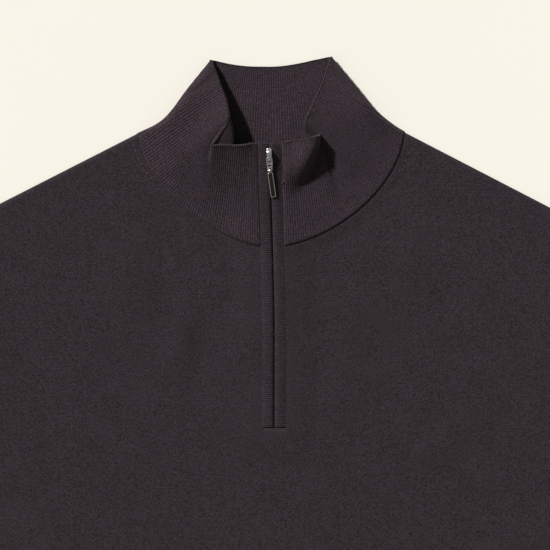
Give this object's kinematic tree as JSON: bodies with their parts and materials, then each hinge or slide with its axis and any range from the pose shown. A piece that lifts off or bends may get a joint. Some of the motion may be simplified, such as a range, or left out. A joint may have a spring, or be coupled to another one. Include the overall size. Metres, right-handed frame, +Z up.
{
  "type": "quarter zip sweater",
  "caption": "Dark fine-knit quarter zip sweater laid flat, with a ribbed stand collar, ribbed hem band and cuffs, silver slider and dark bar pull.",
  "frame": {"origin": "under the middle of the laid garment's outline, on the surface it lies on", "axes": "+X to the viewer's right across the sleeves, +Y from the hem towards the collar, +Z up off the surface"},
  "size_m": [1.3026, 0.737, 0.0252],
  "materials": {
    "plain_knit": "fine plain knit, matte, dark aubergine charcoal",
    "rib_knit": "fine rib knit, matte, the same yarn",
    "edging_knit": "narrow cross-ribbed knit strip, matte",
    "zip_tape": "woven zip tape, matte",
    "silver_metal": "polished silver-coloured die cast metal",
    "gunmetal": "dark satin gunmetal with bright rubbed edges"
  },
  "bodies": {
    "garment": {"back": "plain_knit", "front": "plain_knit", "collar": "rib_knit", "sleeve_left": "plain_knit", "sleeve_right": "plain_knit", "cuff_left": "rib_knit", "cuff_right": "rib_knit", "hem_band": "rib_knit", "zip_edging_left": "edging_knit", "zip_edging_right": "edging_knit", "zip_tape": "zip_tape", "zip_slider": "silver_metal"},
    "zip_link": {"zip_pull_link": "silver_metal"},
    "zip_tab": {"zip_pull_tab": "gunmetal"}
  },
  "joints": [
    {"name": "link_swing", "type": "hinge", "parent": "garment", "child": "zip_link", "pos_m": [-0.00117, 0.29337, 0.01827], "axis": [-0.9992, -0.0405, 0], "range_deg": [0, 120]},
    {"name": "tab_swing", "type": "hinge", "parent": "zip_link", "child": "zip_tab", "pos_m": [-0.00079, 0.28402, 0.01613], "axis": [-0.9903, -0.1392, 0], "range_deg": [0, 110]}
  ]
}
